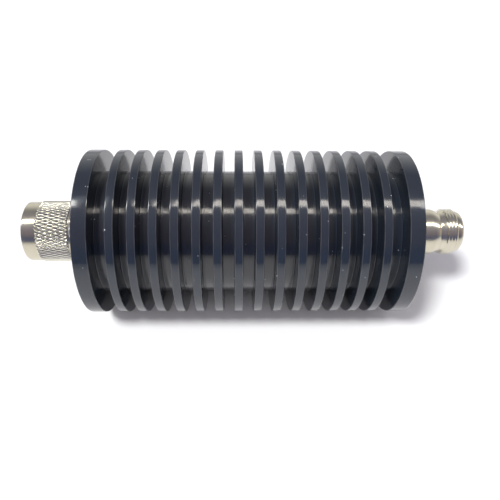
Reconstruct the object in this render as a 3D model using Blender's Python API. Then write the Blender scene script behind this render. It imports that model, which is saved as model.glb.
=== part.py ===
"""Fixed coaxial attenuator with a finned heat sink, a plug at one end and a jack at the other.

The axis of the part is X. The plug points to -X, the jack to +X, and the origin is halfway along.
The heat sink is turned from one bar. Its bore holds a split carrier with the film chips, and a
square-flanged connector is screwed on each end. Lengths are in metres.
"""

import math

import bmesh
import bpy
from mathutils import Matrix, Vector

MM = 0.001

# Clearances between neighbouring pieces
SEAT = 0.3 * MM
WELD = 0.001 * MM

# Heat sink
BODY_LENGTH = 105.4 * MM
FIN_RADIUS = 27.8 * MM
CORE_RADIUS = 20.7 * MM
BORE_RADIUS = 9.0 * MM
FIN_COUNT = 14
FIN_THICKNESS = 2.7 * MM
END_FIN_THICKNESS = 4.8 * MM
END_GAP = 5.1 * MM
EDGE_BREAK = 0.4 * MM

# Connector flanges and their screws
FLANGE_SIDE = 25.4 * MM
FLANGE_THICKNESS = 2.4 * MM
FLANGE_CORNER = 2.0 * MM
SCREW_SPACING = 18.2 * MM
SCREW_RADIUS = 1.5 * MM
SCREW_HEAD_RADIUS = 2.6 * MM
SCREW_HEAD_HEIGHT = 1.5 * MM
SCREW_REACH = 6.5 * MM
SOCKET_RADIUS = 1.4 * MM
SOCKET_DEPTH = 0.9 * MM

# Coaxial line that both connectors share
INNER_RADIUS = 1.52 * MM
LINE_BORE_RADIUS = 3.5 * MM
TAIL_REACH = 4.0 * MM
TAIL_SOCKET_DEPTH = 3.0 * MM
WIRE_RADIUS = 0.6 * MM

# Plug: lengths run outward from the end of the heat sink
PLUG_SHOULDER_RADIUS = 9.75 * MM
PLUG_SHOULDER_LENGTH = 2.4 * MM
PLUG_NOSE_RADIUS = 7.8 * MM
PLUG_NOSE_LENGTH = 6.1 * MM
PLUG_LIP_LENGTH = 1.0 * MM
SLEEVE_ROOT_RADIUS = 4.6 * MM
SLEEVE_TIP_RADIUS = 4.0 * MM
SLEEVE_TIP_REACH = 9.1 * MM
SLEEVE_SLOT_WIDTH = 0.5 * MM
SLEEVE_SLOT_LENGTH = 7.0 * MM
PIN_RADIUS = 0.83 * MM
PIN_SHOULDER_SETBACK = 5.3 * MM
PIN_TIP_SETBACK = 0.5 * MM
PIN_TIP_ROUND = 0.58 * MM
GASKET_THICKNESS = 1.5 * MM
GASKET_RADIUS = 7.5 * MM

# Coupling nut
NUT_BAND_RADIUS = 10.15 * MM
NUT_BAND_LENGTH = 4.6 * MM
NUT_KNURL_RADIUS = 10.45 * MM
NUT_KNURL_LENGTH = 10.8 * MM
NUT_COLLAR_RADIUS = 10.2 * MM
NUT_COLLAR_LENGTH = 1.1 * MM
NUT_CHAMFER = 0.6 * MM
NUT_THREAD_RADIUS = 7.35 * MM
NUT_THREAD_LENGTH = 7.4 * MM
NUT_MOUTH_CHAMFER = 0.7 * MM

# Split ring that keeps the nut on the plug
RING_THICKNESS = 1.0 * MM
RING_HEIGHT = 1.5 * MM
RING_SETBACK = 2.9 * MM
RING_GAP = 2.0 * MM

# Jack: lengths run outward from the end of the heat sink
JACK_REACH = 21.3 * MM
JACK_RADIUS = 7.95 * MM
JACK_NECK_RADIUS = 6.95 * MM
JACK_NECK_REACH = 13.8 * MM
JACK_NECK_RISE = 2.3 * MM
JACK_THREAD_END = 19.0 * MM
JACK_NOSE_RADIUS = 7.3 * MM
JACK_NOSE_ROUND = 1.6 * MM
JACK_MOUTH_RADIUS = 4.05 * MM
JACK_MOUTH_DEPTH = 9.1 * MM
JACK_MOUTH_CHAMFER = 0.5 * MM
SOCKET_TIP_SETBACK = 3.9 * MM
SOCKET_BORE_DEPTH = 6.0 * MM
SOCKET_CLEARANCE = 0.05 * MM
SOCKET_SLOT_WIDTH = 0.4 * MM
SOCKET_SLOT_LENGTH = 4.5 * MM

# Carrier and the attenuating line inside it
CHANNEL_HALF_WIDTH = 4.2 * MM
CHANNEL_HEADROOM = 3.0 * MM
CHIP_LENGTH = 12.0 * MM
CHIP_THICKNESS = 1.0 * MM
CHIP_SPACING = 22.0 * MM
CHIP_NAMES = ("input_chip", "middle_chip", "output_chip")
LINK_WIDTH = 1.8 * MM
LINK_THICKNESS = 0.25 * MM
PAD_OVERLAP = 1.5 * MM
SUPPORT_LENGTH = 2.5 * MM
CARRIER_SCREW_RADIUS = 0.8 * MM
CARRIER_SCREW_HEAD_RADIUS = 1.4 * MM
CARRIER_SCREW_HEAD_HEIGHT = 1.2 * MM
CARRIER_SCREW_SEAT = 2.3 * MM
CARRIER_SCREW_DEPTH = 3.6 * MM
CARRIER_SCREW_SETBACK = 14.7 * MM
CARRIER_SOCKET_RADIUS = 0.75 * MM
CARRIER_SOCKET_DEPTH = 0.6 * MM

# Facets round each kind of piece
HEAT_SINK_FACETS = 48
CONNECTOR_FACETS = 32
CONTACT_FACETS = 16
CARRIER_FACETS = 14
SCREW_FACETS = 12
HEXAGON = 6
FLANGE_CORNER_FACETS = 2
PIN_ROUND_FACETS = 2
NECK_FACETS = 4
NOSE_FACETS = 4

# Places that follow from the sizes above, outward from the end of the heat sink
FLANGE_BACK = SEAT
FLANGE_FRONT = FLANGE_BACK + FLANGE_THICKNESS
SHOULDER_FRONT = FLANGE_FRONT + PLUG_SHOULDER_LENGTH
NOSE_FRONT = SHOULDER_FRONT + PLUG_NOSE_LENGTH
SLEEVE_TIP = NOSE_FRONT + SLEEVE_TIP_REACH
RING_BACK = NOSE_FRONT - RING_SETBACK
NUT_BACK = SHOULDER_FRONT + SEAT
NUT_KNURL_BACK = NUT_BACK + NUT_COLLAR_LENGTH
NUT_BAND_BACK = NUT_KNURL_BACK + NUT_KNURL_LENGTH
NUT_FRONT = NUT_BAND_BACK + NUT_BAND_LENGTH
GASKET_BACK = NOSE_FRONT + SEAT
GASKET_FRONT = GASKET_BACK + GASKET_THICKNESS
NUT_BORE_RADIUS = PLUG_NOSE_RADIUS + SEAT
RING_INNER_RADIUS = PLUG_NOSE_RADIUS - RING_HEIGHT / 2 + SEAT / 2
RING_OUTER_RADIUS = RING_INNER_RADIUS + RING_HEIGHT
JACK_MOUTH_BACK = JACK_REACH - JACK_MOUTH_DEPTH
SOCKET_TIP = JACK_REACH - SOCKET_TIP_SETBACK
CARRIER_RADIUS = BORE_RADIUS - SEAT
CHIP_TOP = -(WIRE_RADIUS + SEAT)
CHANNEL_FLOOR = CHIP_TOP - CHIP_THICKNESS - SEAT
CARRIER_SCREW_OFFSET = CHANNEL_HALF_WIDTH + CARRIER_SCREW_HEAD_RADIUS + 2 * SEAT
CARRIER_SCREW_PLACE = BODY_LENGTH / 2 - CARRIER_SCREW_SETBACK
PART_SHIFT = (NUT_FRONT - JACK_REACH) / 2


def finish(name, colour, roughness, metallic):
    material = bpy.data.materials.new(name)
    material.use_nodes = True
    shader = material.node_tree.nodes["Principled BSDF"]
    shader.inputs["Base Color"].default_value = (*colour, 1.0)
    shader.inputs["Roughness"].default_value = roughness
    shader.inputs["Metallic"].default_value = metallic
    return material


def clear_scene():
    for item in list(bpy.data.objects):
        bpy.data.objects.remove(item, do_unlink=True)


def axis_guide(name, place, turn=(0.0, 0.0, 0.0)):
    """An empty whose X axis is the line that its pieces are turned about."""
    guide = bpy.data.objects.new(name, None)
    guide.location = place
    guide.rotation_euler = turn
    bpy.context.collection.objects.link(guide)
    return guide


def object_from(bm, name, material, parent, smooth=True):
    bmesh.ops.recalc_face_normals(bm, faces=bm.faces)
    mesh = bpy.data.meshes.new(name)
    bm.to_mesh(mesh)
    bm.free()
    if smooth:
        mesh.shade_smooth()
        mesh.set_sharp_from_angle(angle=math.radians(30))
    piece = bpy.data.objects.new(name, mesh)
    piece.parent = parent
    if material is not None:
        mesh.materials.append(material)
    bpy.context.collection.objects.link(piece)
    return piece


def as_cutter(piece):
    piece.hide_render = True
    piece.display_type = "WIRE"
    return piece


def combine(piece, other, operation):
    change = piece.modifiers.new(other.name, "BOOLEAN")
    change.operation = operation
    change.solver = "EXACT"
    change.object = as_cutter(other)


def turn_section(bm, section, facets):
    """Turns a section of (x, radius) points about X. It is closed unless it starts on the axis."""
    points = [bm.verts.new((x, 0.0, radius)) for x, radius in section]
    runs = list(zip(points, points[1:]))
    if section[0][1] > 0.0:
        runs.append((points[-1], points[0]))
    edges = [bm.edges.new(run) for run in runs]
    bmesh.ops.spin(bm, geom=points + edges, cent=(0, 0, 0), axis=(1, 0, 0),
                   angle=math.tau, steps=facets, use_merge=True)
    bmesh.ops.remove_doubles(bm, verts=bm.verts, dist=WELD)


def turned(name, section, material, parent, facets):
    bm = bmesh.new()
    turn_section(bm, section, facets)
    return object_from(bm, name, material, parent)


def rod_section(start, end, radius):
    return [(start, 0.0), (start, radius), (end, radius), (end, 0.0)]


def add_rods(bm, start, end, radius, places, facets):
    """Straight rods along X, one at each (y, z) place."""
    for y, z in places:
        middle = Matrix.Translation(((start + end) / 2, y, z))
        bmesh.ops.create_cone(bm, cap_ends=True, segments=facets, radius1=radius, radius2=radius,
                              depth=end - start, matrix=middle @ Matrix.Rotation(math.pi / 2, 4, "Y"))


def add_box(bm, low, high):
    centre = (Vector(low) + Vector(high)) / 2
    size = Vector(high) - Vector(low)
    bmesh.ops.create_cube(bm, size=1.0, matrix=Matrix.Translation(centre) @ Matrix.Diagonal((*size, 1.0)))


def block(name, low, high, material, parent):
    bm = bmesh.new()
    add_box(bm, low, high)
    return object_from(bm, name, material, parent, smooth=False)


def eased(start, end, steps):
    """Points of an S-shaped rise between two (x, radius) points, both ends included."""
    points = []
    for step in range(steps + 1):
        share = step / steps
        rise = (1 - math.cos(math.pi * share)) / 2
        points.append((start[0] + (end[0] - start[0]) * share, start[1] + (end[1] - start[1]) * rise))
    return points


def quarter_round(x_end, radius, round_radius, steps):
    """Points that round the outer corner of a shaft that ends at x_end."""
    points = []
    for step in range(steps + 1):
        angle = math.pi / 2 * step / steps
        points.append((x_end - round_radius * (1 - math.sin(angle)),
                       radius - round_radius * (1 - math.cos(angle))))
    return points


def screw_places():
    half = SCREW_SPACING / 2
    return [(y, z) for y in (-half, half) for z in (-half, half)]


def heat_sink(material, plug_end, jack_end, parent):
    """The turned bar: a thick fin at each end, thin fins between, and a plain bore."""
    half = BODY_LENGTH / 2
    pitch = (BODY_LENGTH - 2 * (END_FIN_THICKNESS + END_GAP) - FIN_THICKNESS) / (FIN_COUNT - 1)
    first = -half + END_FIN_THICKNESS + END_GAP

    def end_fin(left, right):
        return [(left, FIN_RADIUS - EDGE_BREAK), (left + EDGE_BREAK, FIN_RADIUS),
                (right - EDGE_BREAK, FIN_RADIUS), (right, FIN_RADIUS - EDGE_BREAK)]

    section = [(-half, BORE_RADIUS)]
    section += end_fin(-half, -half + END_FIN_THICKNESS)
    section.append((-half + END_FIN_THICKNESS, CORE_RADIUS))
    for fin in range(FIN_COUNT):
        left = first + fin * pitch
        right = left + FIN_THICKNESS
        section += [(left, CORE_RADIUS), (left, FIN_RADIUS), (right, FIN_RADIUS), (right, CORE_RADIUS)]
    section.append((half - END_FIN_THICKNESS, CORE_RADIUS))
    section += end_fin(half - END_FIN_THICKNESS, half)
    section.append((half, BORE_RADIUS))
    body = turned("heat_sink", section, material, parent, HEAT_SINK_FACETS)
    for guide in (plug_end, jack_end):
        bm = bmesh.new()
        add_rods(bm, -(SCREW_REACH + SEAT), SEAT, SCREW_RADIUS + SEAT, screw_places(), SCREW_FACETS)
        combine(body, object_from(bm, guide.name + "_tapped_holes", None, guide), "DIFFERENCE")


def flanged_body(name, barrel, bore, material, guide):
    """A square flange and the barrel turned with it, bored through, with its four screw holes."""
    half = FLANGE_SIDE / 2
    bm = bmesh.new()
    add_box(bm, (FLANGE_BACK, -half, -half), (FLANGE_FRONT, half, half))
    corners = [edge for edge in bm.edges if abs(edge.verts[0].co.x - edge.verts[1].co.x) > WELD]
    bmesh.ops.bevel(bm, geom=corners, offset=FLANGE_CORNER, segments=FLANGE_CORNER_FACETS,
                    profile=0.5, affect="EDGES", material=-1)
    body = object_from(bm, name, material, guide)
    combine(body, turned(name + "_barrel", barrel, None, guide, CONNECTOR_FACETS), "UNION")
    bm = bmesh.new()
    turn_section(bm, bore, CONNECTOR_FACETS)
    add_rods(bm, FLANGE_BACK - SEAT, FLANGE_FRONT + SEAT, SCREW_RADIUS + SEAT, screw_places(), SCREW_FACETS)
    combine(body, object_from(bm, name + "_bores", None, guide), "DIFFERENCE")
    return body


def screws(name, seat, tip, places, sizes, material, guide):
    """Socket-headed screws along X, seated at one x and ending at a lower one."""
    shank, head, height, socket, depth = sizes
    top = seat + height
    section = [(tip, 0.0), (tip, shank), (seat, shank), (seat, head), (top, head), (top, 0.0)]
    for number, (y, z) in enumerate(places, start=1):
        screw = turned(f"{name}_{number}", section, material, guide, SCREW_FACETS)
        screw.location = (0.0, y, z)
        bm = bmesh.new()
        add_rods(bm, top - depth, top + depth, socket, [(0.0, 0.0)], HEXAGON)
        combine(screw, object_from(bm, f"{name}_{number}_socket", None, screw), "DIFFERENCE")


def cut_fingers(piece, start, end, reach, width, guide):
    """Two crossed saw cuts across the mouth of a tube, which leave four spring fingers."""
    for tag, half_y, half_z in (("across", reach, width / 2), ("upright", width / 2, reach)):
        cut = block(f"{piece.name}_{tag}", (start, -half_y, -half_z), (end, half_y, half_z), None, guide)
        combine(piece, cut, "DIFFERENCE")


def plug_pieces(nickel, gold, plastic, rubber, steel, guide):
    """The male connector without its nut, built outward along its guide's X."""
    groove_radius = RING_INNER_RADIUS - SEAT
    barrel = [(FLANGE_BACK + SEAT, 0.0), (FLANGE_BACK + SEAT, PLUG_SHOULDER_RADIUS),
              (SHOULDER_FRONT, PLUG_SHOULDER_RADIUS), (SHOULDER_FRONT, PLUG_NOSE_RADIUS),
              (RING_BACK - SEAT, PLUG_NOSE_RADIUS), (RING_BACK - SEAT, groove_radius),
              (RING_BACK + RING_THICKNESS + SEAT, groove_radius),
              (RING_BACK + RING_THICKNESS + SEAT, PLUG_NOSE_RADIUS),
              (NOSE_FRONT, PLUG_NOSE_RADIUS), (NOSE_FRONT, 0.0)]
    lip_front = FLANGE_BACK + PLUG_LIP_LENGTH
    bore = [(FLANGE_BACK - SEAT, 0.0), (FLANGE_BACK - SEAT, LINE_BORE_RADIUS), (lip_front, LINE_BORE_RADIUS),
            (lip_front, SLEEVE_ROOT_RADIUS + SEAT), (NOSE_FRONT + SEAT, SLEEVE_ROOT_RADIUS + SEAT),
            (NOSE_FRONT + SEAT, 0.0)]
    flanged_body("plug_body", barrel, bore, nickel, guide)

    ring = [(RING_BACK, RING_INNER_RADIUS), (RING_BACK, RING_OUTER_RADIUS),
            (RING_BACK + RING_THICKNESS, RING_OUTER_RADIUS), (RING_BACK + RING_THICKNESS, RING_INNER_RADIUS)]
    split_ring = turned("nut_retaining_ring", ring, steel, guide, CONNECTOR_FACETS)
    opening = block("ring_opening", (RING_BACK - SEAT, -RING_GAP / 2, RING_INNER_RADIUS / 2),
                    (RING_BACK + RING_THICKNESS + SEAT, RING_GAP / 2, RING_OUTER_RADIUS + SEAT), None, guide)
    combine(split_ring, opening, "DIFFERENCE")

    root_back = lip_front + SEAT
    sleeve = [(root_back, LINE_BORE_RADIUS), (root_back, SLEEVE_ROOT_RADIUS),
              (NOSE_FRONT - SEAT, SLEEVE_ROOT_RADIUS), (NOSE_FRONT - SEAT, SLEEVE_TIP_RADIUS),
              (SLEEVE_TIP, SLEEVE_TIP_RADIUS), (SLEEVE_TIP, LINE_BORE_RADIUS)]
    outer_contact = turned("plug_outer_contact", sleeve, nickel, guide, CONNECTOR_FACETS)
    cut_fingers(outer_contact, SLEEVE_TIP - SLEEVE_SLOT_LENGTH, SLEEVE_TIP + SEAT,
                SLEEVE_TIP_RADIUS + SEAT, SLEEVE_SLOT_WIDTH, guide)

    gasket = [(GASKET_BACK, SLEEVE_TIP_RADIUS + SEAT), (GASKET_BACK, GASKET_RADIUS),
              (GASKET_FRONT, GASKET_RADIUS), (GASKET_FRONT, SLEEVE_TIP_RADIUS + SEAT)]
    turned("plug_gasket", gasket, rubber, guide, CONNECTOR_FACETS)

    pin_shoulder = SLEEVE_TIP - PIN_SHOULDER_SETBACK
    insulator("plug_insulator", FLANGE_BACK + SEAT, pin_shoulder - SEAT, plastic, guide)
    tail = tail_section()
    nose = quarter_round(SLEEVE_TIP - PIN_TIP_SETBACK, PIN_RADIUS, PIN_TIP_ROUND, PIN_ROUND_FACETS)
    pin = tail + [(pin_shoulder, INNER_RADIUS), (pin_shoulder, PIN_RADIUS)] + nose
    pin.append((SLEEVE_TIP - PIN_TIP_SETBACK, 0.0))
    turned("plug_centre_pin", pin, gold, guide, CONTACT_FACETS)
    flange_screws("plug_flange_screw", steel, guide)


def flange_screws(name, material, guide):
    sizes = (SCREW_RADIUS, SCREW_HEAD_RADIUS, SCREW_HEAD_HEIGHT, SOCKET_RADIUS, SOCKET_DEPTH)
    screws(name, FLANGE_FRONT + SEAT, -SCREW_REACH, screw_places(), sizes, material, guide)


def insulator(name, back, front, material, guide):
    hole = INNER_RADIUS + SEAT
    outer = LINE_BORE_RADIUS - SEAT
    section = [(back, hole), (back, outer), (front, outer), (front, hole)]
    turned(name, section, material, guide, CONTACT_FACETS)


def tail_section():
    """The inner end of a centre contact, drilled to take the wire of the line."""
    hole = WIRE_RADIUS + SEAT
    return [(-TAIL_REACH + TAIL_SOCKET_DEPTH, 0.0), (-TAIL_REACH + TAIL_SOCKET_DEPTH, hole),
            (-TAIL_REACH, hole), (-TAIL_REACH, INNER_RADIUS)]


def coupling_nut(material, guide):
    """The nut turns freely on the plug's nose: bore, ring groove, thread and mouth, then the outside."""
    groove_radius = RING_OUTER_RADIUS + SEAT
    groove_back = RING_BACK - SEAT
    groove_front = RING_BACK + RING_THICKNESS + SEAT
    thread_front = NUT_FRONT - NUT_MOUTH_CHAMFER
    thread_back = thread_front - NUT_THREAD_LENGTH
    relief = NUT_BORE_RADIUS - NUT_THREAD_RADIUS
    section = [
        (NUT_BACK, NUT_BORE_RADIUS), (groove_back, NUT_BORE_RADIUS), (groove_back, groove_radius),
        (groove_front, groove_radius), (groove_front, NUT_BORE_RADIUS),
        (thread_back - relief, NUT_BORE_RADIUS), (thread_back, NUT_THREAD_RADIUS),
        (thread_front, NUT_THREAD_RADIUS), (NUT_FRONT, NUT_THREAD_RADIUS + NUT_MOUTH_CHAMFER),
        (NUT_FRONT, NUT_BAND_RADIUS - NUT_CHAMFER), (NUT_FRONT - NUT_CHAMFER, NUT_BAND_RADIUS),
        (NUT_BAND_BACK, NUT_BAND_RADIUS), (NUT_BAND_BACK, NUT_KNURL_RADIUS),
        (NUT_KNURL_BACK, NUT_KNURL_RADIUS), (NUT_KNURL_BACK, NUT_COLLAR_RADIUS),
        (NUT_BACK, NUT_COLLAR_RADIUS),
    ]
    nut = turned("coupling_nut", [(x - NUT_BACK, radius) for x, radius in section],
                 material, guide, CONNECTOR_FACETS)
    nut.location = (NUT_BACK, 0.0, 0.0)


def jack_pieces(nickel, gold, plastic, steel, guide):
    """The female connector, built outward along its guide's X."""
    fall_back = JACK_NECK_REACH - JACK_NECK_RISE
    rise_front = JACK_NECK_REACH + JACK_NECK_RISE
    neck = (JACK_NECK_REACH, JACK_NECK_RADIUS)
    barrel = [(FLANGE_BACK + SEAT, 0.0), (FLANGE_BACK + SEAT, JACK_RADIUS)]
    barrel += eased((fall_back, JACK_RADIUS), neck, NECK_FACETS)
    barrel += eased(neck, (rise_front, JACK_RADIUS), NECK_FACETS)[1:]
    barrel.append((JACK_THREAD_END, JACK_RADIUS))
    barrel += quarter_round(JACK_REACH, JACK_NOSE_RADIUS, JACK_NOSE_ROUND, NOSE_FACETS)
    barrel.append((JACK_REACH, 0.0))
    bevel_back = JACK_REACH - JACK_MOUTH_CHAMFER
    bevel_reach = 2 * JACK_MOUTH_CHAMFER
    bore = [(FLANGE_BACK - SEAT, 0.0), (FLANGE_BACK - SEAT, LINE_BORE_RADIUS),
            (JACK_MOUTH_BACK, LINE_BORE_RADIUS), (JACK_MOUTH_BACK, JACK_MOUTH_RADIUS),
            (bevel_back, JACK_MOUTH_RADIUS), (bevel_back + bevel_reach, JACK_MOUTH_RADIUS + bevel_reach),
            (bevel_back + bevel_reach, 0.0)]
    flanged_body("jack_body", barrel, bore, nickel, guide)

    insulator("jack_insulator", FLANGE_BACK + SEAT, JACK_MOUTH_BACK - SEAT, plastic, guide)
    hole = PIN_RADIUS + SOCKET_CLEARANCE
    socket = tail_section() + [(SOCKET_TIP, INNER_RADIUS), (SOCKET_TIP, hole),
                               (SOCKET_TIP - SOCKET_BORE_DEPTH, hole), (SOCKET_TIP - SOCKET_BORE_DEPTH, 0.0)]
    contact = turned("jack_centre_contact", socket, gold, guide, CONTACT_FACETS)
    cut_fingers(contact, SOCKET_TIP - SOCKET_SLOT_LENGTH, SOCKET_TIP + SEAT,
                INNER_RADIUS + SEAT, SOCKET_SLOT_WIDTH, guide)
    flange_screws("jack_flange_screw", steel, guide)


def half_round(name, split, channel, upper, material, parent):
    """A half-round bar along the whole bore, with a square channel along its flat face."""
    sign = 1 if upper else -1
    start = math.asin(abs(split) / CARRIER_RADIUS)
    outline = []
    for step in range(CARRIER_FACETS + 1):
        angle = start + (math.pi - 2 * start) * step / CARRIER_FACETS
        outline.append((CARRIER_RADIUS * math.cos(angle), sign * CARRIER_RADIUS * math.sin(angle)))
    outline += [(-CHANNEL_HALF_WIDTH, split), (-CHANNEL_HALF_WIDTH, channel),
                (CHANNEL_HALF_WIDTH, channel), (CHANNEL_HALF_WIDTH, split)]
    bm = bmesh.new()
    face = bm.faces.new([bm.verts.new((-BODY_LENGTH / 2, y, z)) for y, z in outline])
    made = bmesh.ops.extrude_face_region(bm, geom=[face])
    far = [item for item in made["geom"] if isinstance(item, bmesh.types.BMVert)]
    bmesh.ops.translate(bm, verts=far, vec=(BODY_LENGTH, 0.0, 0.0))
    return object_from(bm, name, material, parent)


def carrier(aluminium, steel, parent, upright):
    """The split carrier that clamps the chips, and the screws that draw its halves together."""
    base = half_round("carrier_base", -SEAT / 2, CHANNEL_FLOOR, False, aluminium, parent)
    lid = half_round("carrier_lid", SEAT / 2, CHANNEL_HEADROOM, True, aluminium, parent)
    places = [(y, x) for y in (-CARRIER_SCREW_OFFSET, CARRIER_SCREW_OFFSET)
              for x in (-CARRIER_SCREW_PLACE, CARRIER_SCREW_PLACE)]
    hole = CARRIER_SCREW_RADIUS + SEAT
    pocket = CARRIER_SCREW_HEAD_RADIUS + SEAT

    bm = bmesh.new()
    add_rods(bm, -(CARRIER_SCREW_DEPTH + SEAT), SEAT, hole, places, SCREW_FACETS)
    combine(base, object_from(bm, "carrier_tapped_holes", None, upright), "DIFFERENCE")

    bm = bmesh.new()
    for y, x in places:
        made = set(bm.verts)
        turn_section(bm, [(-SEAT, 0.0), (-SEAT, hole), (CARRIER_SCREW_SEAT - SEAT, hole),
                          (CARRIER_SCREW_SEAT - SEAT, pocket), (CARRIER_RADIUS, pocket),
                          (CARRIER_RADIUS, 0.0)], SCREW_FACETS)
        fresh = [vert for vert in bm.verts if vert not in made]
        bmesh.ops.translate(bm, verts=fresh, vec=(0.0, y, x))
    combine(lid, object_from(bm, "carrier_screw_pockets", None, upright), "DIFFERENCE")

    sizes = (CARRIER_SCREW_RADIUS, CARRIER_SCREW_HEAD_RADIUS, CARRIER_SCREW_HEAD_HEIGHT,
             CARRIER_SOCKET_RADIUS, CARRIER_SOCKET_DEPTH)
    screws("carrier_screw", CARRIER_SCREW_SEAT, -CARRIER_SCREW_DEPTH, places, sizes, steel, upright)


def attenuating_line(ceramic, gold, plastic, parent):
    """Three film chips in a row, the straps between them, and a wire out to each connector."""
    chip_half_width = CHANNEL_HALF_WIDTH - SEAT
    for place, name in zip((-CHIP_SPACING, 0.0, CHIP_SPACING), CHIP_NAMES):
        block(name, (place - CHIP_LENGTH / 2, -chip_half_width, CHIP_TOP - CHIP_THICKNESS),
              (place + CHIP_LENGTH / 2, chip_half_width, CHIP_TOP), ceramic, parent)
    strap_half = (CHIP_SPACING - CHIP_LENGTH) / 2 + PAD_OVERLAP
    strap_base = CHIP_TOP + SEAT
    for place, name in ((-CHIP_SPACING / 2, "input_link"), (CHIP_SPACING / 2, "output_link")):
        block(name, (place - strap_half, -LINK_WIDTH / 2, strap_base),
              (place + strap_half, LINK_WIDTH / 2, strap_base + LINK_THICKNESS), gold, parent)

    wire_outer = BODY_LENGTH / 2 + TAIL_SOCKET_DEPTH - TAIL_REACH - SEAT
    wire_inner = CHIP_SPACING + CHIP_LENGTH / 2 - PAD_OVERLAP
    middle = (wire_outer - TAIL_SOCKET_DEPTH + wire_inner) / 2
    for side, name in ((-1, "input_line"), (1, "output_line")):
        ends = sorted((side * wire_outer, side * wire_inner))
        turned(name, rod_section(ends[0], ends[1], WIRE_RADIUS), gold, parent, SCREW_FACETS)
        low = (side * middle - SUPPORT_LENGTH / 2, -chip_half_width, CHANNEL_FLOOR + SEAT)
        high = (side * middle + SUPPORT_LENGTH / 2, chip_half_width, CHANNEL_HEADROOM - SEAT)
        support = block(name + "_support", low, high, plastic, parent)
        hole = rod_section(low[0] - SEAT, high[0] + SEAT, WIRE_RADIUS + SEAT)
        combine(support, turned(name + "_hole", hole, None, parent, SCREW_FACETS), "DIFFERENCE")


def build():
    clear_scene()
    black = finish("black_anodised_aluminium", (0.020, 0.024, 0.034), 0.32, 0.35)
    nickel = finish("nickel_plated_brass", (0.74, 0.71, 0.65), 0.22, 1.0)
    gold = finish("gold_plated_bronze", (0.83, 0.62, 0.28), 0.25, 1.0)
    plastic = finish("white_ptfe", (0.86, 0.86, 0.84), 0.45, 0.0)
    rubber = finish("red_silicone", (0.42, 0.06, 0.04), 0.55, 0.0)
    steel = finish("stainless_steel", (0.60, 0.60, 0.61), 0.30, 1.0)
    aluminium = finish("bare_aluminium", (0.78, 0.79, 0.80), 0.35, 1.0)
    ceramic = finish("beige_ceramic", (0.80, 0.76, 0.68), 0.50, 0.0)

    middle = axis_guide("attenuator", (PART_SHIFT, 0.0, 0.0))
    half = BODY_LENGTH / 2
    plug_end = axis_guide("plug_end", (PART_SHIFT - half, 0.0, 0.0), (0.0, 0.0, math.pi))
    jack_end = axis_guide("jack_end", (PART_SHIFT + half, 0.0, 0.0))
    upright = axis_guide("carrier_upright", (PART_SHIFT, 0.0, 0.0), (0.0, -math.pi / 2, 0.0))

    heat_sink(black, plug_end, jack_end, middle)
    plug_pieces(nickel, gold, plastic, rubber, steel, plug_end)
    coupling_nut(nickel, plug_end)
    jack_pieces(nickel, gold, plastic, steel, jack_end)
    carrier(aluminium, steel, middle, upright)
    attenuating_line(ceramic, gold, plastic, middle)


build()
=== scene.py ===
"""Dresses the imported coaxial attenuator: finned heat sink, knurled plug, threaded jack.

Sizes are in millimetres along and round the part's own X axis, and become metres in the mesh.
"""

import math

import bmesh
import bpy
from mathutils import Matrix, Vector


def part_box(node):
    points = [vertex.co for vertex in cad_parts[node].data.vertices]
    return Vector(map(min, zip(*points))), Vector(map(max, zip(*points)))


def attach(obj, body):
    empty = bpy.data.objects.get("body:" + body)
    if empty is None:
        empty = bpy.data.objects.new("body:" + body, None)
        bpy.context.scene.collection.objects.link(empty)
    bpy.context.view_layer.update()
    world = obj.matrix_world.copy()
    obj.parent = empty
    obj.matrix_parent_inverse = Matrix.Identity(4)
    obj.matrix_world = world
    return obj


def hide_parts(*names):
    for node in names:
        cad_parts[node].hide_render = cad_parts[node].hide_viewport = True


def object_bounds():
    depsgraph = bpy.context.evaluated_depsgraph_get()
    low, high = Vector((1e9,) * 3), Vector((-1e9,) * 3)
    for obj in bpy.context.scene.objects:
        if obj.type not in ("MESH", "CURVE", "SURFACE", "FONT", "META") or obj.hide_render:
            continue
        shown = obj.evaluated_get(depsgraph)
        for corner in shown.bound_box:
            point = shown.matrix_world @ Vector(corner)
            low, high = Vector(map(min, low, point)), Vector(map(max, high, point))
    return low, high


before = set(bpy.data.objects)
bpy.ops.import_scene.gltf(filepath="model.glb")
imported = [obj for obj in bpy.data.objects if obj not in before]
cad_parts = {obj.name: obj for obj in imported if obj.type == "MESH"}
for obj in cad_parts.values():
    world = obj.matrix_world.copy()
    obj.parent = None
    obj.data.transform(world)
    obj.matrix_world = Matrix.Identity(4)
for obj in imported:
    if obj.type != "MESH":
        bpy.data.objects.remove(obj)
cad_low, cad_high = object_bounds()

# Camera. It stands a hand's length from the part's axis, 45 degrees up, and a little to one side.
# It is aimed a little low, so that the part sits above the middle of the picture.
MM = 0.001
FRAME_PIXELS = 500
focal_pixels = 496.8
axis_row = 231.2
film_width = 36.0
stand_climb = math.radians(45)
sight_yaw = math.radians(1.54)
sight_distance = 174.2
sight_foot = -3.55

sight_drop = stand_climb + math.atan((FRAME_PIXELS / 2 - axis_row) / focal_pixels)
straight = Vector((0.0, math.cos(sight_drop), -math.sin(sight_drop)))
upward = Vector((0.0, math.sin(sight_drop), math.cos(sight_drop)))
sight = math.cos(sight_yaw) * straight + math.sin(sight_yaw) * Vector((1.0, 0.0, 0.0))
photo_lens = bpy.data.cameras.new("photo_camera")
photo_lens.sensor_width = film_width
photo_lens.lens = film_width * focal_pixels / FRAME_PIXELS
photo_lens.clip_start = 0.01
photo_lens.clip_end = 30.0
camera = bpy.data.objects.new("photo_camera", photo_lens)
camera.matrix_world = Matrix((sight.cross(upward), upward, -sight)).transposed().to_4x4()
camera.location = Vector((sight_foot, -sight_distance * math.cos(stand_climb),
                          sight_distance * math.sin(stand_climb))) * MM
bpy.context.scene.collection.objects.link(camera)
bpy.context.scene.camera = camera
bpy.context.scene.view_settings.view_transform = "Standard"


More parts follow.
